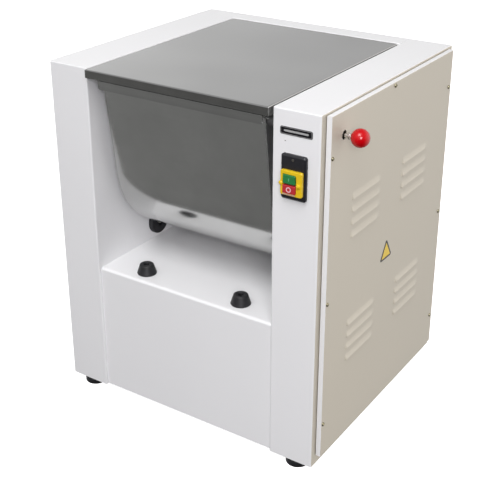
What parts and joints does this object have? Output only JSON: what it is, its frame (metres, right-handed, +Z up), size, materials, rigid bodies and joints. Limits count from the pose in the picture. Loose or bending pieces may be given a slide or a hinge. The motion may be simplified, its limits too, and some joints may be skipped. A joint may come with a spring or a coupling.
{
  "type": "dough mixer",
  "caption": "Floor-standing horizontal dough mixer: white cabinet with two side towers, tilting stainless trough with hinged lid, chain-driven agitator and red tilt-lock knob.",
  "frame": {"origin": "on the floor, at the centre of the machine's own box seen from above", "axes": "+X to the operator's right, +Y to the back, +Z up"},
  "size_m": [0.813, 0.6754, 0.87],
  "materials": {
    "white_paint": "smooth satin powder coat",
    "cover_paint": "fine orange-peel powder coat",
    "stainless": "brushed stainless sheet",
    "turned_steel": "turned steel",
    "zinc": "zinc-plated fasteners",
    "cast_iron": "grey cast iron",
    "chrome": "polished plating",
    "frame_paint": "black paint on square tube",
    "motor_paint": "blue-grey machine enamel",
    "black_rubber": "moulded rubber",
    "black_plastic": "fine-grained black plastic",
    "yellow_plastic": "moulded plastic",
    "green_plastic": "moulded plastic",
    "red_plastic": "moulded plastic",
    "red_ball": "polished ball knob",
    "nameplate": "plain black plate",
    "sticker": "plain yellow film",
    "grey_plastic": "grey enclosure",
    "bronze": "sintered bronze"
  },
  "bodies": {
    "cabinet": {"left_tower": "white_paint", "right_tower": "white_paint", "base_cover": "white_paint", "cross_rails": "frame_paint", "side_rails": "frame_paint", "motor_rails": "frame_paint", "rear_bridge": "white_paint", "rear_panel": "white_paint", "rear_panel_screws": "zinc", "left_side_cover": "cover_paint", "right_side_cover": "cover_paint", "side_cover_screws": "zinc", "feet": "black_rubber", "foot_bolts": "zinc", "bumpers": "black_rubber", "bumper_screws": "zinc", "tilt_stops": "black_rubber", "tilt_stop_screws": "zinc", "nameplate": "nameplate", "warning_triangle": "sticker", "switch_box": "black_plastic", "switch_frame": "yellow_plastic", "switch_screw": "zinc", "lock_guide": "turned_steel", "left_bearing": "cast_iron", "right_bearing": "cast_iron", "bearing_bolts": "zinc", "motor_housing": "motor_paint", "motor_fan_cowl": "black_plastic", "motor_terminal_box": "black_plastic", "gearbox_housing": "motor_paint", "motor_bolts": "zinc", "drive_chain": "turned_steel", "contactor_box": "grey_plastic", "wiring_loom": "black_rubber", "cable_bush": "black_rubber"},
    "trough": {"trough_shell": "stainless", "trough_rim": "stainless", "left_trough_end": "stainless", "right_trough_end": "stainless", "trough_hubs": "cast_iron", "hub_bolts": "zinc", "shaft_bushes": "bronze", "shaft_seals": "black_rubber", "lock_keeper": "turned_steel", "stop_pins": "turned_steel", "hinge_brackets": "stainless"},
    "lid": {"lid_panel": "stainless", "lid_gaskets": "black_rubber", "hinge_pins": "turned_steel"},
    "agitator": {"main_shaft": "turned_steel", "agitator_arms": "stainless", "mixing_bars": "stainless", "driven_sprocket": "turned_steel"},
    "drive": {"drive_shaft": "turned_steel", "drive_sprocket": "turned_steel"},
    "lock": {"lock_pin": "chrome", "knob_ball": "red_ball"},
    "start_button": {"start_button": "green_plastic"},
    "stop_button": {"stop_button": "red_plastic"}
  },
  "joints": [
    {"name": "trough_tilt", "type": "hinge", "parent": "cabinet", "child": "trough", "pos_m": [-0.028, -0.05025, 0.634], "axis": [1, 0, 0], "range_deg": [0, 83]},
    {"name": "lid_hinge", "type": "hinge", "parent": "trough", "child": "lid", "pos_m": [-0.028, 0.24475, 0.858], "axis": [-1, 0, 0], "range_deg": [0, 105]},
    {"name": "agitator_spin", "type": "hinge", "parent": "cabinet", "child": "agitator", "pos_m": [-0.028, -0.05025, 0.634], "axis": [1, 0, 0], "continuous": true},
    {"name": "drive_spin", "type": "hinge", "parent": "cabinet", "child": "drive", "pos_m": [0.127, 0.13475, 0.14], "axis": [1, 0, 0], "continuous": true},
    {"name": "lock_slide", "type": "slide", "parent": "cabinet", "child": "lock", "axis": [1, 0, 0], "range_m": [-0.015, 0]},
    {"name": "start_press", "type": "slide", "parent": "cabinet", "child": "start_button", "axis": [0, 1, 0], "range_m": [0, 0.004], "stiffness_N_per_m": 300},
    {"name": "stop_press", "type": "slide", "parent": "cabinet", "child": "stop_button", "axis": [0, 1, 0], "range_m": [0, 0.004], "stiffness_N_per_m": 300}
  ],
  "couplings": [
    {"joint": "drive_spin", "follows": "agitator_spin", "ratio": 3}
  ]
}
